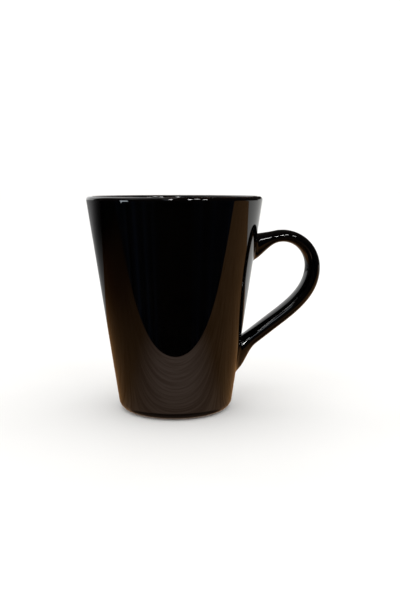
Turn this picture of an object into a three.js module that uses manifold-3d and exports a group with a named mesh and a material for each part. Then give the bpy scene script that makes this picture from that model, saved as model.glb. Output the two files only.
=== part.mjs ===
// Tapered ceramic mug: a turned cup on a bare foot ring, with an ear-shaped strap handle
// that is luted to the wall with slip at an upper and a lower root.
// Millimetres, +Z up. The mug stands on z = 0 and its handle points along +X, in the XZ plane.
// X = 0 is the middle of the overall length, so the cup's own axis lies at x = CUP_AXIS_X.

import * as THREE from 'three';
import * as BufferGeometryUtils from 'three/addons/utils/BufferGeometryUtils.js';
import Module from 'manifold-3d';

const wasm = await Module();
wasm.setup();

// Cup: the outer wall is a straight cone between a rounded heel and a rounded lip.
const HEIGHT = 108.7;
const RIM_RADIUS = 44.5; // where the wall's line meets the top plane
const WALL_TAPER = 0.1455; // outer radius gained per mm of height
const INNER_TAPER = 0.1575; // inner radius gained per mm, so the wall thickens towards the floor
const LIP_RADIUS = 1.7;
const HEEL_RADIUS = 4.4;
const HEEL_LIFT = 0.4; // the glazed heel hangs this far clear of the table
const FLOOR_TOP = 8.4;
const FLOOR_FILLET = 6;

// Foot: the recess under the floor, and the unglazed ring around it.
const RECESS_DEPTH = 2.2;
const FOOT_WIDTH = 3.4;
const FOOT_CHAMFER = 0.4;

// Handle: the middle line of the strap, from inside the wall at the upper root, over the
// bow, down to inside the wall at the lower root. x is measured from the cup's axis.
const BOW_RADIUS = 16.5;
const BOW_CENTRE = new THREE.Vector2(56.6, 71.6);
const UPPER_SLOPE = THREE.MathUtils.degToRad(12);
const UPPER_END_X = 37;
const LOWER_SLOPE = THREE.MathUtils.degToRad(36.3);
const LOWER_BEND = new THREE.Vector2(50, 42.2); // where the lower arm becomes straight
const LOWER_END_X = 26.5;
const BOW_PULL = 13.9; // lengths of the curve's two handles below the bow
const LOWER_PULL = 12.1;

// Handle section: an oval, thicker low down, that flares into the wall at both roots.
const HALF_THICKNESS_TOP = 3.15;
const HALF_THICKNESS_LOW = 3.95;
const THICKENING_FROM = 22; // distances along the strap
const THICKENING_TO = 60;
const HALF_WIDTH_TOP = 6.8;
const HALF_WIDTH_LOW = 6.3;
const ROOT_SPREAD = 1.7; // what each side of the strap gains in width at a root
const UPPER_FLARE = { length: 16.5, outside: 1.0, inside: 6.5 };
const LOWER_FLARE = { length: 17, outside: 5.6, inside: 0.6 };

// Slip joints: thin pads of slip between each end of the handle and the wall.
const FIT_GAP = 0.3; // clearance between neighbouring solids
const SLIP_THICKNESS = 0.9;
const SLIP_SQUEEZE = 0.8; // how far the slip stands out around the strap

// Fineness of the facets.
const ROUND_STEPS = 96;
const ARC_STEPS = 5;
const STRAP_STEPS = 56;
const OVAL_STEPS = 24;

const wallAngle = Math.atan(WALL_TAPER);
const innerAngle = Math.atan(INNER_TAPER);

const outerRadius = (z) => RIM_RADIUS - WALL_TAPER * (HEIGHT - z);

// Centre of a circle at height z that touches a slanted wall line of this radius from inside.
function centreAgainstWall(lineRadius, taper, circleRadius, z) {
  return new THREE.Vector2(lineRadius - circleRadius * Math.hypot(1, taper), z);
}

const heelHeight = HEEL_LIFT + HEEL_RADIUS;
const heel = centreAgainstWall(outerRadius(heelHeight), WALL_TAPER, HEEL_RADIUS, heelHeight);

const lipHeight = HEIGHT - LIP_RADIUS;
const lip = centreAgainstWall(outerRadius(lipHeight), WALL_TAPER, LIP_RADIUS, lipHeight);

const innerRadius = (z) =>
  lip.x - LIP_RADIUS * Math.hypot(1, INNER_TAPER) - INNER_TAPER * (lipHeight - z);

const filletHeight = FLOOR_TOP + FLOOR_FILLET;
const fillet = centreAgainstWall(innerRadius(filletHeight), INNER_TAPER, FLOOR_FILLET, filletHeight);

// The handle reaches furthest at the height of the bow's centre, where the curve below begins.
const strapLine = makeStrapLine();
const strapLength = strapLine.getLength();
const bowDistance = strapLine.curves[0].getLength() + strapLine.curves[1].getLength();
const handleReach = BOW_CENTRE.x + BOW_RADIUS + halfThickness(bowDistance);
const CUP_AXIS_X = (lip.x + LIP_RADIUS - handleReach) / 2;

// Turns an outline of (radius, height) points around the Z axis.
function turned(outline) {
  const geometry = new THREE.LatheGeometry(outline, ROUND_STEPS);
  geometry.rotateX(Math.PI / 2);
  return geometry;
}

function toSolid(geometry) {
  const bare = geometry.clone();
  bare.deleteAttribute('normal');
  bare.deleteAttribute('uv');
  const merged = BufferGeometryUtils.mergeVertices(bare);
  const corners = Array.from(merged.index.array);
  const triangles = [];
  for (let i = 0; i < corners.length; i += 3) {
    const [a, b, c] = corners.slice(i, i + 3);
    if (a !== b && b !== c && c !== a) {
      triangles.push(a, b, c);
    }
  }
  const mesh = new wasm.Mesh({
    numProp: 3,
    vertProperties: new Float32Array(merged.attributes.position.array),
    triVerts: new Uint32Array(triangles),
  });
  return new wasm.Manifold(mesh);
}

function toGeometry(solid) {
  const mesh = solid.getMesh();
  const geometry = new THREE.BufferGeometry();
  geometry.setAttribute('position', new THREE.BufferAttribute(mesh.vertProperties, 3));
  geometry.setIndex(new THREE.BufferAttribute(mesh.triVerts, 1));
  geometry.computeVertexNormals();
  return geometry;
}

// Cup: recess face, heel, wall, lip, inner wall, fillet and floor in one closed turn.
function cupGeometry() {
  const outline = new THREE.Path();
  outline.moveTo(0, RECESS_DEPTH);
  outline.lineTo(heel.x, RECESS_DEPTH);
  outline.absarc(heel.x, heel.y, HEEL_RADIUS, -Math.PI / 2, -wallAngle, false);
  outline.absarc(lip.x, lip.y, LIP_RADIUS, -wallAngle, Math.PI - innerAngle, false);
  outline.absarc(fillet.x, fillet.y, FLOOR_FILLET, -innerAngle, -Math.PI / 2, true);
  outline.lineTo(0, FLOOR_TOP);
  return turned(outline.getPoints(ARC_STEPS));
}

// Foot ring: a flat band with broken edges, set in the corner under the heel.
function footGeometry() {
  const outside = heel.x - FIT_GAP;
  const inside = outside - FOOT_WIDTH;
  const top = RECESS_DEPTH - FIT_GAP;
  const outline = new THREE.Path();
  outline.moveTo(inside, top);
  outline.lineTo(inside, FOOT_CHAMFER);
  outline.lineTo(inside + FOOT_CHAMFER, 0);
  outline.lineTo(outside - FOOT_CHAMFER, 0);
  outline.lineTo(outside, FOOT_CHAMFER);
  outline.lineTo(outside, top);
  outline.lineTo(inside, top);
  return turned(outline.getPoints());
}

// The strap's middle line, in the handle's plane: straight, arc, curve, straight.
function makeStrapLine() {
  const arcStart = new THREE.Vector2(-Math.sin(UPPER_SLOPE), Math.cos(UPPER_SLOPE));
  arcStart.multiplyScalar(BOW_RADIUS).add(BOW_CENTRE);
  const lowerDirection = new THREE.Vector2(Math.cos(LOWER_SLOPE), Math.sin(LOWER_SLOPE));
  const bowEnd = new THREE.Vector2(BOW_CENTRE.x + BOW_RADIUS, BOW_CENTRE.y);
  const lowerControl = LOWER_BEND.clone().addScaledVector(lowerDirection, LOWER_PULL);
  const upperDrop = (arcStart.x - UPPER_END_X) * Math.tan(UPPER_SLOPE);
  const lowerDrop = (LOWER_BEND.x - LOWER_END_X) * Math.tan(LOWER_SLOPE);
  const line = new THREE.Path();
  line.moveTo(UPPER_END_X, arcStart.y - upperDrop);
  line.lineTo(arcStart.x, arcStart.y);
  line.absarc(BOW_CENTRE.x, BOW_CENTRE.y, BOW_RADIUS, Math.PI / 2 + UPPER_SLOPE, 0, true);
  line.bezierCurveTo(
    bowEnd.x, bowEnd.y - BOW_PULL,
    lowerControl.x, lowerControl.y,
    LOWER_BEND.x, LOWER_BEND.y,
  );
  line.lineTo(LOWER_END_X, LOWER_BEND.y - lowerDrop);
  return line;
}

function halfThickness(distance) {
  const low = THREE.MathUtils.smoothstep(distance, THICKENING_FROM, THICKENING_TO);
  return THREE.MathUtils.lerp(HALF_THICKNESS_TOP, HALF_THICKNESS_LOW, low);
}

// The oval section at a distance along the strap: how far it reaches outside and inside the
// bow, and to each side. grow makes every reach larger, for the slip around the roots.
function strapSection(distance, grow) {
  const { smoothstep, lerp } = THREE.MathUtils;
  const half = halfThickness(distance);
  const upper = 1 - smoothstep(distance, 0, UPPER_FLARE.length);
  const lower = 1 - smoothstep(strapLength - distance, 0, LOWER_FLARE.length);
  const narrowing = smoothstep(distance, THICKENING_FROM, THICKENING_TO);
  return {
    outside: half + upper * UPPER_FLARE.outside + lower * LOWER_FLARE.outside + grow,
    inside: half + upper * UPPER_FLARE.inside + lower * LOWER_FLARE.inside + grow,
    side: lerp(HALF_WIDTH_TOP, HALF_WIDTH_LOW, narrowing) + (upper + lower) * ROOT_SPREAD + grow,
  };
}

// A closed strap: oval sections set square to the middle line, joined ring to ring.
function strapGeometry(grow) {
  const positions = [];
  const faces = [];
  for (let i = 0; i <= STRAP_STEPS; i++) {
    const along = i / STRAP_STEPS;
    const middle = strapLine.getPointAt(along);
    const heading = strapLine.getTangentAt(along);
    const section = strapSection(along * strapLength, grow);
    for (let j = 0; j < OVAL_STEPS; j++) {
      const turn = (2 * Math.PI * j) / OVAL_STEPS;
      const reach = Math.sin(turn) > 0 ? section.outside : section.inside;
      const out = reach * Math.sin(turn);
      const x = middle.x - heading.y * out;
      const z = middle.y + heading.x * out;
      positions.push(x, section.side * Math.cos(turn), z);
      if (i < STRAP_STEPS) {
        const here = i * OVAL_STEPS + j;
        const beside = i * OVAL_STEPS + ((j + 1) % OVAL_STEPS);
        faces.push(here, beside, here + OVAL_STEPS);
        faces.push(beside, beside + OVAL_STEPS, here + OVAL_STEPS);
      }
    }
  }
  const lastRing = STRAP_STEPS * OVAL_STEPS;
  for (let j = 1; j < OVAL_STEPS - 1; j++) {
    faces.push(0, j + 1, j);
    faces.push(lastRing, lastRing + j, lastRing + j + 1);
  }
  const geometry = new THREE.BufferGeometry();
  geometry.setAttribute('position', new THREE.Float32BufferAttribute(positions, 3));
  geometry.setIndex(faces);
  return geometry;
}

// A solid cone that follows the cup's outer wall at a distance outside it.
function wallCone(standoff) {
  const margin = 5;
  const bottom = outerRadius(-margin) + standoff;
  const top = outerRadius(HEIGHT + margin) + standoff;
  const outline = [
    new THREE.Vector2(0, -margin),
    new THREE.Vector2(bottom, -margin),
    new THREE.Vector2(top, HEIGHT + margin),
    new THREE.Vector2(0, HEIGHT + margin),
  ];
  return toSolid(turned(outline));
}

// Handle: the strap, cut off square to the wall where the slip begins.
function handleGeometry() {
  const cut = wallCone(FIT_GAP + SLIP_THICKNESS + FIT_GAP);
  return toGeometry(toSolid(strapGeometry(0)).subtract(cut));
}

// Slip joints: what a slightly fatter strap leaves between two cones around the wall. The
// upper pad is the piece whose box lies higher.
function slipGeometries() {
  const ring = wallCone(FIT_GAP + SLIP_THICKNESS).subtract(wallCone(FIT_GAP));
  const pads = toSolid(strapGeometry(SLIP_SQUEEZE)).intersect(ring).decompose();
  pads.sort((a, b) => b.boundingBox().max[2] - a.boundingBox().max[2]);
  return pads.map(toGeometry);
}

function glaze() {
  return new THREE.MeshStandardMaterial({ color: 0x0b0a0a, roughness: 0.08, metalness: 0 });
}

function bareClay() {
  return new THREE.MeshStandardMaterial({ color: 0xcfc4b2, roughness: 0.85, metalness: 0 });
}

function part(name, geometry, material) {
  const mesh = new THREE.Mesh(geometry, material);
  mesh.name = name;
  return mesh;
}

const [upperSlip, lowerSlip] = slipGeometries();

const mug = new THREE.Group();
mug.name = 'mug';
mug.position.x = CUP_AXIS_X;
mug.add(part('cup_body', cupGeometry(), glaze()));
mug.add(part('foot_ring', footGeometry(), bareClay()));
mug.add(part('handle', handleGeometry(), glaze()));
mug.add(part('upper_handle_joint', upperSlip, glaze()));
mug.add(part('lower_handle_joint', lowerSlip, glaze()));

export default mug;
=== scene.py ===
# The looks of a tapered ceramic mug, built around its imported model: a fine cup, strap handle,
# slip fillets and bare foot ring, in black glaze and fired clay, in a plain white studio whose
# lamps and reflectors only show in what is glossy.
# Lengths are in millimetres until a vertex or the camera is placed, which are in metres.

import math
from bisect import bisect_right

import bmesh
import bpy
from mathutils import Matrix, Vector
from mathutils.geometry import interpolate_bezier


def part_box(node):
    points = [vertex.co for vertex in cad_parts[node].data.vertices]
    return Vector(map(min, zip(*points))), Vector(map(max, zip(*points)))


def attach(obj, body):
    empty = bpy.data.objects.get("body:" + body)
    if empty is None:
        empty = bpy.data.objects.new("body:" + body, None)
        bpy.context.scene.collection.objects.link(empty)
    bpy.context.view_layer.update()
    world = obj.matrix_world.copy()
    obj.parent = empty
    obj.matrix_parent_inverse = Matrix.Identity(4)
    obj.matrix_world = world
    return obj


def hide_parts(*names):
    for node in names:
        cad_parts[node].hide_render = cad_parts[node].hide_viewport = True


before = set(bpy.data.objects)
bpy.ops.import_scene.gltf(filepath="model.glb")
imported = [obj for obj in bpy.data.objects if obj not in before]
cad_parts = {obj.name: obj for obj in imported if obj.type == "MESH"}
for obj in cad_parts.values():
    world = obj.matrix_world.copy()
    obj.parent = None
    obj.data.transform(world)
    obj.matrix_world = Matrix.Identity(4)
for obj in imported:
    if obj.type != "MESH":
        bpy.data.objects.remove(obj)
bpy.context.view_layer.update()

MM = 0.001

# Cup: the wall is a straight cone between a rounded heel and a rounded lip.
WALL_TAPER = 0.1455  # outer radius gained per mm of height
INNER_TAPER = 0.1575
LIP_RADIUS = 1.7
HEEL_RADIUS = 4.4
FLOOR_TOP = 8.4
FLOOR_FILLET = 6.0

# Foot: the recess under the floor, the bare ring, and the glaze that ends against it.
RECESS_DEPTH = 2.2
FOOT_WIDTH = 3.4
FOOT_ROUNDING = 0.5
GLAZE_PROUD = 0.12  # how far the glaze stands off the ring's inner face
GLAZE_CORNER = 0.9
GLAZE_BEAD = 0.2
HEEL_BEAD = 0.4
RING_OVERLAP = 0.3  # how far the glaze and the ring run on inside each other
HEEL_OVERLAP = 0.1

# Handle: the strap's middle line, with x from the cup's axis, and its oval section.
BOW_RADIUS = 16.5
BOW_CENTRE = Vector((56.6, 71.6))
UPPER_SLOPE = math.radians(12)
UPPER_END_X = 37.0
LOWER_SLOPE = math.radians(36.3)
LOWER_BEND = Vector((50, 42.2))
LOWER_END_X = 26.5
BOW_PULL = 13.9
LOWER_PULL = 12.1
THICKENING = (22.0, 60.0)  # distances along the strap
HALF_THICKNESS = (3.15, 3.95)  # before and after it thickens
HALF_WIDTH = (6.8, 6.3)
ROOT_SPREAD = 1.7
UPPER_FLARE = {"length": 16.5, "outside": 1.0, "inside": 6.5}
LOWER_FLARE = {"length": 17.0, "outside": 5.6, "inside": 0.6}

# Slip fillets: how far each reaches along the strap and along the wall.
FILLET_ON_STRAP = 2.4
FILLET_ON_WALL = 2.2
FILLET_ROUNDNESS = 0.6
BURIED = 1.4  # how deep hidden ends go into the wall

# The fillets' hidden edges: pairs of how far they run on and how deep they are there.
TUCKED_IN_STRAP = [(1.5, 0.5), (0.5, 0.01)]
TUCKED_IN_WALL = [(0.4, 0.015), (0.5, 0.5)]

# Fineness: the steps round the cup and the strap, and those along each stretch of an outline.
ROUND_STEPS = 256
OVAL_STEPS = 80
FLAT_STEPS = 16
WALL_STEPS = 48
LIP_STEPS = 36
HEEL_STEPS = 28
FLOOR_FILLET_STEPS = 24
GLAZE_CORNER_STEPS = 10
GLAZE_BEAD_STEPS = 6
EDGE_STEPS = 8
BOW_STEPS = 240
STRAP_STEP = 0.8
FILLET_STEPS = 14
HALVINGS = 40  # in the search for where the strap meets the wall
NUDGE = 0.1  # along the strap, to find which way its skin runs

# The camera, round the cup's axis from straight in front, and where it looks.
CAMERA_DISTANCE = 383.9
CAMERA_HEIGHT = 113.5
CAMERA_TURN = math.radians(8)  # away from the handle
CAMERA_HEADING = math.radians(9.908)
CAMERA_PITCH = math.radians(8.571)
CAMERA_LENS = 45.25  # in mm, on Blender's 36 mm sensor

# The studio: a wide floor and even light, which is dimmed where the glaze mirrors it.
FLOOR_REACH = 40000  # to each side
WORLD_LIGHT = (1.35, 1.35, 1.35, 1)
WORLD_IN_GLAZE = (0.032, 0.026, 0.024, 1)

# What the glaze mirrors, from the cup's axis in the camera's directions. An upright card is
# given by the two ends of its foot and by its lowest and highest edge.
TABLE_HEIGHT = 0.3  # just above the floor
TABLE_FRONT = 92
TABLE_BACK = 200
ROOM_REACH = 1200  # to each side
WALL_HEIGHT = 240
BLIND = ((-723, 506), (-77, 880), 90, 950)
DOORWAY = ((-424, -157), (-385, -238), 0, 150)
CEILING_SIDES = (-1100, 40)
CEILING_ENDS = (-500, 1300)
CEILING_HEIGHTS = (1200, 1600)  # at its two sides

# Lamps: azimuth, where 0 is the camera's side and 90 the handle's, elevation and width, all in
# degrees, then brightness and colour.
WHITE = (1, 1, 1)
COOL = (0.78, 0.88, 1)
LAMPS = {
    "ceiling_right": (23, 44, 5, 90, WHITE),
    "ceiling_middle": (-6, 45, 5, 90, WHITE),
    "window_right": (40, 55, 6, 40, WHITE),
    "window_low": (44, 37, 6, 40, WHITE),
    "screen": (-13, 36, 6, 5, COOL),
}

cup_low, cup_high = (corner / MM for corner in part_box("cup_body"))
foot_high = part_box("foot_ring")[1] / MM
axis_x = (cup_low.x + cup_high.x) / 2
axis = Vector((axis_x, 0, 0))
rim_z = cup_high.z
foot_outside = foot_high.x - axis_x
foot_inside = foot_outside - FOOT_WIDTH


# ---- Outlines of the turned pieces ---------------------------------------------------------


def touching(line_radius, taper, circle_radius, height):
    """The centre of a circle at a height that touches a slanted wall line from inside."""
    return Vector((line_radius - circle_radius * math.hypot(1, taper), height))


lip = Vector((cup_high.x - axis_x - LIP_RADIUS, rim_z - LIP_RADIUS))


def outer_radius(z):
    return lip.x + LIP_RADIUS * math.hypot(1, WALL_TAPER) - WALL_TAPER * (lip.y - z)


def inner_radius(z):
    return lip.x - LIP_RADIUS * math.hypot(1, INNER_TAPER) - INNER_TAPER * (lip.y - z)


def arc(centre, radius, start, end, steps):
    """Points on an arc, from one angle to another in degrees."""
    angles = [math.radians(start + (end - start) * i / steps) for i in range(steps + 1)]
    return [centre + radius * Vector((math.cos(a), math.sin(a))) for a in angles]


def straight(start, end, steps):
    """Points between two ends, closer together near both, without the ends themselves."""
    shares = [(1 - math.cos(math.pi * i / steps)) / 2 for i in range(1, steps)]
    return [start.lerp(end, share) for share in shares]


def recess_outline():
    """The recess face, the glaze down the ring's inner face, and the hidden way over the ring."""
    glaze_x = foot_inside - GLAZE_PROUD
    corner = Vector((glaze_x - GLAZE_CORNER, RECESS_DEPTH - GLAZE_CORNER))
    bead = Vector((glaze_x + GLAZE_BEAD, corner.y - GLAZE_BEAD))
    heel_bead = Vector((heel.x, cup_low.z + HEEL_BEAD))
    inner_x = bead.x + RING_OVERLAP
    outer_x = heel.x - HEEL_BEAD - HEEL_OVERLAP
    face = [Vector((corner.x * i / FLAT_STEPS, RECESS_DEPTH)) for i in range(1, FLAT_STEPS)]
    down = arc(corner, GLAZE_CORNER, 90, 0, GLAZE_CORNER_STEPS)
    down += arc(bead, GLAZE_BEAD, 180, 270, GLAZE_BEAD_STEPS)
    over_ring = [
        Vector((inner_x, bead.y)),
        Vector((inner_x, RECESS_DEPTH)),
        Vector((outer_x, RECESS_DEPTH)),
        Vector((outer_x, heel_bead.y)),
    ]
    up = arc(heel_bead, HEEL_BEAD, 180, 270, EDGE_STEPS)
    return face + down + over_ring + up[:-1]


def cup_outline():
    """Radius and height, from the middle of the recess round heel and lip to the floor."""
    wall_tilt = math.degrees(math.atan(WALL_TAPER))
    inner_tilt = math.degrees(math.atan(INNER_TAPER))
    fillet_z = FLOOR_TOP + FLOOR_FILLET
    fillet = touching(inner_radius(fillet_z), INNER_TAPER, FLOOR_FILLET, fillet_z)
    heel_arc = arc(heel, HEEL_RADIUS, -90, -wall_tilt, HEEL_STEPS)
    lip_arc = arc(lip, LIP_RADIUS, -wall_tilt, 180 - inner_tilt, LIP_STEPS)
    fillet_arc = arc(fillet, FLOOR_FILLET, -inner_tilt, -90, FLOOR_FILLET_STEPS)
    shares = [1 - i / FLAT_STEPS for i in range(1, FLAT_STEPS)]
    floor = [Vector((fillet.x * share, FLOOR_TOP)) for share in shares]
    wall = heel_arc + straight(heel_arc[-1], lip_arc[0], WALL_STEPS) + lip_arc
    inside = straight(lip_arc[-1], fillet_arc[0], WALL_STEPS) + fillet_arc + floor
    return recess_outline() + wall + inside


def foot_outline():
    """The bare ring: a band with rubbed edges, whose top is hidden in the cup."""
    inner = Vector((foot_inside + FOOT_ROUNDING, FOOT_ROUNDING))
    outer = Vector((foot_outside - FOOT_ROUNDING, FOOT_ROUNDING))
    top = RECESS_DEPTH + RING_OVERLAP
    bottom = arc(inner, FOOT_ROUNDING, 180, 270, EDGE_STEPS)
    bottom += arc(outer, FOOT_ROUNDING, 270, 360, EDGE_STEPS)
    return bottom + [Vector((foot_outside, top)), Vector((foot_inside, top))]


heel_z = cup_low.z + HEEL_RADIUS
heel = touching(outer_radius(heel_z), WALL_TAPER, HEEL_RADIUS, heel_z)


# ---- The strap -----------------------------------------------------------------------------


def smoothstep(value, low, high):
    share = min(max((value - low) / (high - low), 0), 1)
    return share * share * (3 - 2 * share)


def strap_line():
    """Close points along the strap's middle line, in the handle's plane."""
    upper = Vector((-math.sin(UPPER_SLOPE), math.cos(UPPER_SLOPE)))
    lower = Vector((math.cos(LOWER_SLOPE), math.sin(LOWER_SLOPE)))
    bow_start = BOW_CENTRE + BOW_RADIUS * upper
    bow_end = BOW_CENTRE + Vector((BOW_RADIUS, 0))
    first = bow_start - Vector((1, math.tan(UPPER_SLOPE))) * (bow_start.x - UPPER_END_X)
    last = LOWER_BEND - Vector((1, math.tan(LOWER_SLOPE))) * (LOWER_BEND.x - LOWER_END_X)
    bow = arc(BOW_CENTRE, BOW_RADIUS, 90 + math.degrees(UPPER_SLOPE), 0, BOW_STEPS)
    bend = (bow_end, bow_end - Vector((0, BOW_PULL)), LOWER_BEND + lower * LOWER_PULL, LOWER_BEND)
    curve = interpolate_bezier(*(point.to_3d() for point in bend), BOW_STEPS)
    return [first] + bow + [point.to_2d() for point in curve[1:]] + [last]


line_points = strap_line()
line_distances = [0.0]
for before, after in zip(line_points, line_points[1:]):
    line_distances.append(line_distances[-1] + (after - before).length)
strap_length = line_distances[-1]


def heading_at(i):
    """The middle line's heading at one of its points, apart from the two ends."""
    return (line_points[i + 1] - line_points[i - 1]).normalized()


def strap_at(distance):
    """The middle line's point and heading at a distance. It runs on straight past both ends."""
    last = len(line_points) - 2
    i = min(max(bisect_right(line_distances, distance) - 1, 0), last)
    start, end = line_points[i], line_points[i + 1]
    share = (distance - line_distances[i]) / (line_distances[i + 1] - line_distances[i])
    if i in (0, last):
        heading = end - start
    else:
        heading = heading_at(i).lerp(heading_at(i + 1), share)
    return start.lerp(end, share), heading.normalized()


def strap_point(distance, turn, shrink=0.0):
    """A point on the strap. A turn of 90 degrees is outside the bow and 0 is one flank."""
    middle, heading = strap_at(distance)
    low = smoothstep(distance, *THICKENING)
    upper = 1 - smoothstep(distance, 0, UPPER_FLARE["length"])
    lower = 1 - smoothstep(strap_length - distance, 0, LOWER_FLARE["length"])
    side = "outside" if math.sin(turn) > 0 else "inside"
    reach = HALF_THICKNESS[0] + low * (HALF_THICKNESS[1] - HALF_THICKNESS[0])
    reach += upper * UPPER_FLARE[side] + lower * LOWER_FLARE[side] - shrink
    width = HALF_WIDTH[0] + low * (HALF_WIDTH[1] - HALF_WIDTH[0])
    width += (upper + lower) * ROOT_SPREAD - shrink
    out = reach * math.sin(turn)
    x = axis_x + middle.x - heading.y * out
    return Vector((x, width * math.cos(turn), middle.y + heading.x * out))


# Each root: a distance inside the wall, one outside it, and the way along the strap between.
UPPER_ROOT = {"inside": -6.0, "outside": 14.0, "away": 1}
LOWER_ROOT = {"inside": strap_length + 8, "outside": strap_length - 16, "away": -1}
turns = [2 * math.pi * i / OVAL_STEPS for i in range(OVAL_STEPS)]


def wall_normal(point):
    outward = Vector((point.x - axis_x, point.y)).normalized()
    return Vector((outward.x, outward.y, -WALL_TAPER)).normalized()


def on_wall(point):
    """The point of the wall that is level with this one."""
    outward = Vector((point.x - axis_x, point.y)).normalized() * outer_radius(point.z)
    return axis + Vector((outward.x, outward.y, point.z))


def crossing(root, turn, depth=0.0):
    """The distance at which one line along the strap reaches a depth inside the wall."""
    inside, outside = root["inside"], root["outside"]
    for _ in range(HALVINGS):
        distance = (inside + outside) / 2
        point = strap_point(distance, turn)
        if math.hypot(point.x - axis_x, point.y) < outer_radius(point.z) - depth:
            inside = distance
        else:
            outside = distance
    return distance


def handle_rings():
    starts = [crossing(UPPER_ROOT, turn, BURIED) for turn in turns]
    ends = [crossing(LOWER_ROOT, turn, BURIED) for turn in turns]
    steps = round(strap_length / STRAP_STEP)
    rings = []
    for i in range(steps + 1):
        share = i / steps
        places = [start + (end - start) * share for start, end in zip(starts, ends)]
        rings.append([strap_point(place, turn) for place, turn in zip(places, turns)])
    return rings


def fillet_column(root, turn):
    """One line over a slip fillet, from inside the strap to inside the wall."""
    meets = crossing(root, turn)
    away = root["away"]
    corner = strap_point(meets, turn)
    leaves = meets + away * FILLET_ON_STRAP
    top = strap_point(leaves, turn)
    down = (top - strap_point(leaves + away * NUDGE, turn)).normalized()
    middle = strap_at(meets)[0]
    outward = corner - Vector((axis_x + middle.x, 0, middle.y))
    outward -= outward.project(wall_normal(corner))
    foot = on_wall(corner + outward.normalized() * FILLET_ON_WALL)
    normal = wall_normal(foot)
    spread = (outward - outward.project(normal)).normalized()
    curve = interpolate_bezier(
        top,
        top + down * FILLET_ROUNDNESS * (corner - top).length,
        foot - spread * FILLET_ROUNDNESS * (corner - foot).length,
        foot,
        FILLET_STEPS,
    )
    in_strap = [strap_point(leaves + away * on, turn, deep) for on, deep in TUCKED_IN_STRAP]
    in_wall = [foot + spread * on - normal * deep for on, deep in TUCKED_IN_WALL]
    return in_strap + curve + in_wall + [corner - normal * BURIED]


def fillet_rings(root):
    return list(zip(*[fillet_column(root, turn) for turn in turns]))


# ---- Meshes --------------------------------------------------------------------------------


def skin(name, rings, closed=False):
    """A smooth solid over rings of points. Its ends are fans, or the last ring joins the first."""
    mesh = bmesh.new()
    rows = [[mesh.verts.new(point * MM) for point in ring] for ring in rings]
    for row, after in zip(rows, rows[1:] + rows[:1] if closed else rows[1:]):
        for i in range(len(row)):
            j = (i + 1) % len(row)
            mesh.faces.new((row[i], row[j], after[j], after[i]))
    for row in [] if closed else (rows[0], rows[-1]):
        middle = mesh.verts.new(sum((corner.co for corner in row), Vector()) / len(row))
        for i in range(len(row)):
            mesh.faces.new((row[i], row[(i + 1) % len(row)], middle))
    bmesh.ops.recalc_face_normals(mesh, faces=mesh.faces)
    data = bpy.data.meshes.new(name)
    mesh.to_mesh(data)
    mesh.free()
    data.shade_smooth()
    piece = bpy.data.objects.new(name, data)
    bpy.context.scene.collection.objects.link(piece)
    return piece


def turned(name, outline, closed=False):
    """An outline of radius and height, turned round the cup's axis."""
    angles = [2 * math.pi * i / ROUND_STEPS for i in range(ROUND_STEPS)]
    directions = [Vector((math.cos(a), math.sin(a), 0)) for a in angles]
    heights = [Vector((0, 0, point.y)) for point in outline]
    rings = [
        [axis + direction * point.x + height for direction in directions]
        for point, height in zip(outline, heights)
    ]
    return skin(name, rings, closed)


def stands_for(piece, node, material):
    """Gives a piece its finish and its place on the body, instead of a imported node."""
    piece.data.materials.append(material)
    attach(piece, "root")
    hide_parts(node)


# ---- Materials -----------------------------------------------------------------------------


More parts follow.
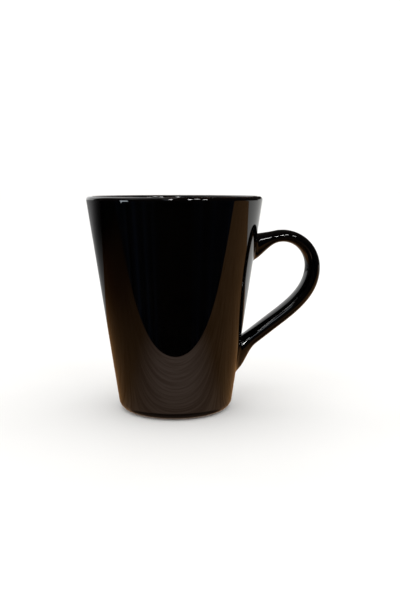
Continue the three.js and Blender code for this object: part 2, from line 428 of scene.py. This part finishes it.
class Surface:
    """A material, whose patterns follow the axes of the object that wears it."""

    def __init__(self, name):
        self.material = bpy.data.materials.new(name)
        self.material.use_nodes = True
        self.tree = self.material.node_tree
        self.shader = self.tree.nodes["Principled BSDF"]
        self.place = self.tree.nodes.new("ShaderNodeTexCoord").outputs["Object"]

    def node(self, kind, sockets, **settings):
        """A node with its settings made and its sockets set to values or joined to outputs."""
        made = self.tree.nodes.new(kind)
        for name, value in settings.items():
            setattr(made, name, value)
        for socket, value in sockets.items():
            if isinstance(value, bpy.types.NodeSocket):
                self.tree.links.new(value, made.inputs[socket])
            else:
                made.inputs[socket].default_value = value
        return made

    def stretched(self, x, y, z):
        """The place, with the pattern drawn out along the axes whose factor is small."""
        sockets = {"Vector": self.place, "Scale": (x, y, z)}
        return self.node("ShaderNodeMapping", sockets).outputs[0]

    def noise(self, size, detail=2.0, place=None):
        """Smooth noise from 0 to 1, whose patches are about size mm across."""
        sockets = {"Vector": place or self.place, "Scale": 1 / (size * MM), "Detail": detail}
        return self.node("ShaderNodeTexNoise", sockets).outputs["Fac"]

    def dots(self, spacing, radius):
        """1 in round dots of a radius, at random about a spacing apart, and 0 between them."""
        sockets = {"Vector": self.place, "Scale": 1 / (spacing * MM)}
        distance = self.node("ShaderNodeTexVoronoi", sockets).outputs["Distance"]
        return self.remap(distance, 0, radius / spacing, 1, 0)

    def remap(self, value, low, high, to_low=0.0, to_high=1.0):
        limits = {"From Min": low, "From Max": high, "To Min": to_low, "To Max": to_high}
        sockets = {"Value": value, **limits}
        made = self.node("ShaderNodeMapRange", sockets, interpolation_type="SMOOTHSTEP")
        return made.outputs[0]

    def along(self, direction):
        """The place along X, Y or Z."""
        return self.node("ShaderNodeSeparateXYZ", {"Vector": self.place}).outputs[direction]

    def distance(self, x, y, z):
        """The distance, in metres, from a point in mm."""
        sockets = {0: self.place, 1: (x * MM, y * MM, z * MM)}
        return self.node("ShaderNodeVectorMath", sockets, operation="DISTANCE").outputs["Value"]

    def math(self, operation, first, second=0.0):
        return self.node("ShaderNodeMath", {0: first, 1: second}, operation=operation).outputs[0]

    def mix(self, share, first, second):
        """Goes from the first colour to the second as share goes from 0 to 1."""
        sockets = {"Factor": share, "A": first, "B": second}
        return self.node("ShaderNodeMix", sockets, data_type="RGBA").outputs["Result"]

    def bump(self, heights):
        """Raises the surface by a sum of patterns, each with its height in mm."""
        total = None
        for pattern, high in heights:
            part = self.math("MULTIPLY", pattern, high)
            total = part if total is None else self.math("ADD", total, part)
        sockets = {"Height": total, "Distance": MM, "Strength": 1.0}
        self.join(self.node("ShaderNodeBump", sockets).outputs[0], "Normal")

    def join(self, output, socket):
        self.tree.links.new(output, self.shader.inputs[socket])

    def set(self, **values):
        for name, value in values.items():
            self.shader.inputs[name.replace("_", " ")].default_value = value


def glaze(name, ripple, ripple_height):
    """Black glaze: glassy, smudged, pitted, and brown where it runs thin over the lip. It swells
    slowly all over, and ripples finely, by a size and height in mm."""
    surface = Surface(name)
    black = (0.0002, 0.0002, 0.0003, 1)
    warm_black = (0.0008, 0.0006, 0.0005, 1)
    thin_brown = (0.022, 0.010, 0.005, 1)
    thin_from, thin_to = rim_z - 0.9, rim_z + 0.2
    glassy, smudged, pitted = 0.012, 0.05, 0.3
    swell_height, pit_height = 0.012, -0.02
    pits = surface.dots(spacing=3.4, radius=0.16)
    tone = surface.mix(surface.noise(18, 3), black, warm_black)
    edge = surface.remap(surface.along("Z"), thin_from * MM, thin_to * MM)
    thin = surface.math("MULTIPLY", edge, surface.remap(surface.noise(5), 0.35, 0.75))
    surface.join(surface.mix(thin, tone, thin_brown), "Base Color")
    smudges = surface.remap(surface.noise(9, 4), 0.4, 0.75, glassy, smudged)
    rough_pits = surface.math("MULTIPLY", pits, pitted)
    surface.join(surface.math("ADD", smudges, rough_pits), "Roughness")
    ripples, swell = surface.noise(ripple, 1), surface.noise(22, 1)
    surface.bump([(ripples, ripple_height), (swell, swell_height), (pits, pit_height)])
    surface.set(IOR=1.46)
    return surface.material


def bare_clay():
    """Unglazed stoneware: pale, gritty, speckled with iron, grey where it rubs on tables."""
    surface = Surface("bare_clay")
    pale = (0.56, 0.49, 0.40, 1)
    toasted = (0.40, 0.30, 0.21, 1)
    iron = (0.10, 0.06, 0.04, 1)
    rubbed_grey = (0.33, 0.31, 0.29, 1)
    specks = surface.dots(spacing=1.7, radius=0.24)
    clay = surface.mix(surface.remap(surface.noise(4, 4), 0.35, 0.7), pale, toasted)
    speckled = surface.mix(specks, clay, iron)
    low = surface.remap(surface.along("Z"), 0.0, 0.25 * MM, 1, 0)
    rubbed = surface.math("MULTIPLY", low, surface.remap(surface.noise(3, 5), 0.45, 0.6))
    surface.join(surface.mix(rubbed, speckled, rubbed_grey), "Base Color")
    grain = surface.noise(0.35, 4)
    surface.join(surface.remap(grain, 0.3, 0.7, 0.75, 0.95), "Roughness")
    surface.bump([(grain, 0.05), (surface.noise(1.6, 3), 0.06), (specks, 0.03)])
    return surface.material


def floor_paint():
    """Matt off-white paint, a little uneven."""
    surface = Surface("pale_floor")
    pale = (0.87, 0.865, 0.85, 1)
    less_pale = (0.84, 0.835, 0.82, 1)
    surface.join(surface.mix(surface.noise(160, 3), pale, less_pale), "Base Color")
    surface.join(surface.remap(surface.noise(60, 3), 0.3, 0.7, 0.65, 0.8), "Roughness")
    surface.set(Specular_IOR_Level=0.2)
    return surface.material


# ---- Studio --------------------------------------------------------------------------------


def card(name, corners, material):
    """A flat sheet of the studio, its corners in mm from the cup's axis, turned to the camera."""
    data = bpy.data.meshes.new(name)
    data.from_pydata([Vector(corner) * MM for corner in corners], [], [(0, 1, 2, 3)])
    data.materials.append(material)
    sheet = bpy.data.objects.new(name, data)
    sheet.location = axis * MM
    sheet.rotation_euler.z = -CAMERA_TURN
    bpy.context.scene.collection.objects.link(sheet)
    return sheet


def level(x_low, x_high, y_low, y_high, z):
    """Corners of a level rectangle."""
    return [(x_low, y_low, z), (x_high, y_low, z), (x_high, y_high, z), (x_low, y_high, z)]


def upright(start, end, low, high):
    """Corners of an upright rectangle over a line on the floor."""
    return [(*start, low), (*end, low), (*end, high), (*start, high)]


def glow(name, strength=1.0):
    """A black surface that gives off light of its own."""
    surface = Surface(name)
    black = (0, 0, 0, 1)
    surface.set(Base_Color=black, Roughness=1.0, Specular_IOR_Level=0.0)
    surface.set(Emission_Strength=strength)
    surface.material.cycles.emission_sampling = "NONE"
    return surface


def table_wood():
    """Lacquered brown wood, grained from side to side, in a painted pool of light that fades to
    the left. A painted sheen stands in for its gloss: its glow is brighter at a low angle than
    from above."""
    surface = glow("table_wood")
    black = (0, 0, 0, 1)
    dusky_brown = (0.06, 0.024, 0.007, 1)
    dark_grain = (0.27, 0.125, 0.042, 1)
    pale_grain = (0.46, 0.25, 0.11, 1)
    dark_sheen = (0.66, 0.44, 0.33, 1)
    pale_sheen = (0.98, 0.70, 0.56, 1)
    lines = surface.stretched(1 / 60, 1 / 1.3, 1)
    grain = surface.remap(surface.noise(1, 3, lines), 0.36, 0.64)
    brown = surface.mix(grain, dark_grain, pale_grain)
    sheen = surface.mix(grain, dark_sheen, pale_sheen)
    pool = surface.remap(surface.distance(0, -TABLE_FRONT, 0), 25 * MM, 105 * MM, 1, 0)
    lit = surface.mix(pool, brown, sheen)
    dusk = surface.remap(surface.along("X"), -460 * MM, -230 * MM)
    shade = surface.mix(dusk, black, dusky_brown)
    fade = surface.remap(surface.along("X"), -260 * MM, 20 * MM)
    surface.join(surface.mix(fade, shade, lit), "Emission Color")
    # Painted sheen: the glow is brighter at a low angle than from above, in place of the lacquer's
    # gloss.
    facing = surface.node("ShaderNodeLayerWeight", {"Blend": 0.5}).outputs["Facing"]
    surface.join(surface.remap(facing, 0.3, 0.46, 0.2, 1), "Emission Strength")
    return surface.material


def dark_room():
    """Near black, with faint blue streaks to both sides of the way to the camera."""
    surface = glow("dark_room")
    black = (0, 0, 0, 1)
    dim_blue = (0.022, 0.036, 0.07, 1)
    ahead = surface.math("MULTIPLY", surface.along("Y"), -1.0)
    bearing = surface.math("ARCTAN2", surface.along("X"), ahead)
    streaks = surface.node("ShaderNodeTexNoise", {"Vector": bearing, "Scale": 5.0}).outputs["Fac"]
    sides = surface.remap(surface.math("ABSOLUTE", bearing), 0.3, 0.6)
    blue = surface.math("MULTIPLY", sides, surface.remap(streaks, 0.4, 0.75))
    surface.join(surface.mix(blue, black, dim_blue), "Emission Color")
    return surface.material


def pale_room():
    """Near white on the right, in daylight, and darker to the left, above all near the table."""
    surface = glow("pale_room")
    near_black = (0.01, 0.01, 0.01, 1)
    grey = (0.33, 0.33, 0.33, 1)
    near_white = (0.82, 0.82, 0.80, 1)
    depth = surface.remap(surface.along("Y"), 0.8 * TABLE_BACK * MM, 4 * TABLE_BACK * MM)
    left = surface.mix(depth, near_black, grey)
    lit = surface.remap(surface.along("X"), -500 * MM, 300 * MM)
    surface.join(surface.mix(lit, left, near_white), "Emission Color")
    return surface.material


def window_blind():
    """White cloth with the sky behind it, a little darker towards its hem."""
    surface = glow("window_blind", 1.2)
    hem = (0.75, 0.75, 0.74, 1)
    white = (1, 1, 1, 1)
    height = surface.remap(surface.along("Z"), 0, 300 * MM)
    surface.join(surface.mix(height, hem, white), "Emission Color")
    return surface.material


def daylight():
    """Cool light from outside, a little uneven."""
    surface = glow("daylight", 9.0)
    grey_blue = (0.6, 0.7, 0.8, 1)
    blue_white = (0.9, 0.97, 1, 1)
    surface.join(surface.mix(surface.noise(60, 2), grey_blue, blue_white), "Emission Color")
    return surface.material


def ceiling():
    """A pale ceiling, brightest on the left, above the window."""
    surface = glow("ceiling")
    pale = (0.9, 0.9, 0.9, 1)
    grey = (0.45, 0.46, 0.48, 1)
    left, right = CEILING_SIDES
    across = surface.remap(surface.along("X"), left * MM, right * MM)
    surface.join(surface.mix(across, pale, grey), "Emission Color")
    return surface.material


def ceiling_corners():
    """Corners of a panel that slopes up to the right."""
    left, right = CEILING_SIDES
    front, back = CEILING_ENDS
    low, high = CEILING_HEIGHTS
    return [(left, front, low), (right, front, high), (right, back, high), (left, back, low)]


def add_reflectors():
    """Cards that only show in the glaze: a table around the mug, dark in front, pale behind."""
    far, low = ROOM_REACH, TABLE_HEIGHT
    pale = pale_room()
    cards = [
        ("table_top", level(-far, far, -TABLE_FRONT, TABLE_BACK, low), table_wood()),
        ("dark_front", level(-far, far, -far, -TABLE_FRONT, low), dark_room()),
        ("pale_back", level(-far, far, TABLE_BACK, far, low), pale),
        ("pale_wall", upright((-far, far), (far, far), 0, WALL_HEIGHT), pale),
        ("window_blind", upright(*BLIND), window_blind()),
        ("doorway", upright(*DOORWAY), daylight()),
        ("ceiling_panel", ceiling_corners(), ceiling()),
    ]
    for name, corners, material in cards:
        sheet = card(name, corners, material)
        sheet.visible_camera = False
        sheet.visible_diffuse = False
        sheet.visible_shadow = False
        sheet.visible_transmission = False


def add_world():
    """Even white light from all around, in place of which the glaze mirrors a dim room."""
    world = bpy.data.worlds.new("studio")
    bpy.context.scene.world = world
    world.use_nodes = True
    tree = world.node_tree
    rays = tree.nodes.new("ShaderNodeLightPath")
    light = tree.nodes.new("ShaderNodeMix")
    light.data_type = "RGBA"
    light.clamp_result = False
    light.inputs["A"].default_value = WORLD_LIGHT
    light.inputs["B"].default_value = WORLD_IN_GLAZE
    tree.links.new(rays.outputs["Is Glossy Ray"], light.inputs["Factor"])
    tree.links.new(light.outputs["Result"], tree.nodes["Background"].inputs["Color"])


def add_lamp(name, azimuth, elevation, spread, brightness, colour):
    """A round lamp far away that only shows in glossy surfaces. Its brightness is what a mirror
    would show."""
    data = bpy.data.lights.new(name, "SUN")
    data.angle = math.radians(spread)
    data.energy = brightness * math.pi * math.tan(data.angle / 2) ** 2
    data.color = colour
    lamp = bpy.data.objects.new(name, data)
    turn = math.radians(azimuth) - CAMERA_TURN
    rise = math.radians(elevation)
    away = Vector((math.sin(turn), -math.cos(turn), 0)) * math.cos(rise)
    towards = away + Vector((0, 0, math.sin(rise)))
    lamp.rotation_euler = towards.to_track_quat("Z", "Y").to_euler()
    lamp.visible_diffuse = False
    bpy.context.scene.collection.objects.link(lamp)


def add_camera():
    data = bpy.data.cameras.new("camera")
    data.lens = CAMERA_LENS
    camera = bpy.data.objects.new("camera", data)
    back = Vector((-math.sin(CAMERA_TURN), -math.cos(CAMERA_TURN), 0)) * CAMERA_DISTANCE
    camera.location = (axis + back + Vector((0, 0, CAMERA_HEIGHT))) * MM
    camera.rotation_euler = (math.pi / 2 - CAMERA_PITCH, 0, -CAMERA_HEADING)
    bpy.context.scene.collection.objects.link(camera)
    bpy.context.scene.camera = camera


def add_studio():
    add_camera()
    add_world()
    for name, settings in LAMPS.items():
        add_lamp(name, *settings)
    corners = level(-FLOOR_REACH, FLOOR_REACH, -FLOOR_REACH, FLOOR_REACH, 0)
    floor = card("floor", corners, floor_paint())
    floor.visible_glossy = False
    add_reflectors()
    bpy.context.scene.view_settings.view_transform = "Standard"


cup_glaze = glaze("cup_glaze", ripple=4.5, ripple_height=0.004)
handle_glaze = glaze("handle_glaze", ripple=2.4, ripple_height=0.011)
cup = turned("cup", cup_outline())
bare_foot = turned("bare_foot", foot_outline(), closed=True)
strap_handle = skin("strap_handle", handle_rings())
upper_fillet = skin("upper_fillet", fillet_rings(UPPER_ROOT))
lower_fillet = skin("lower_fillet", fillet_rings(LOWER_ROOT))
stands_for(cup, "cup_body", cup_glaze)
stands_for(bare_foot, "foot_ring", bare_clay())
stands_for(strap_handle, "handle", handle_glaze)
stands_for(upper_fillet, "upper_handle_joint", handle_glaze)
stands_for(lower_fillet, "lower_handle_joint", handle_glaze)
add_studio()
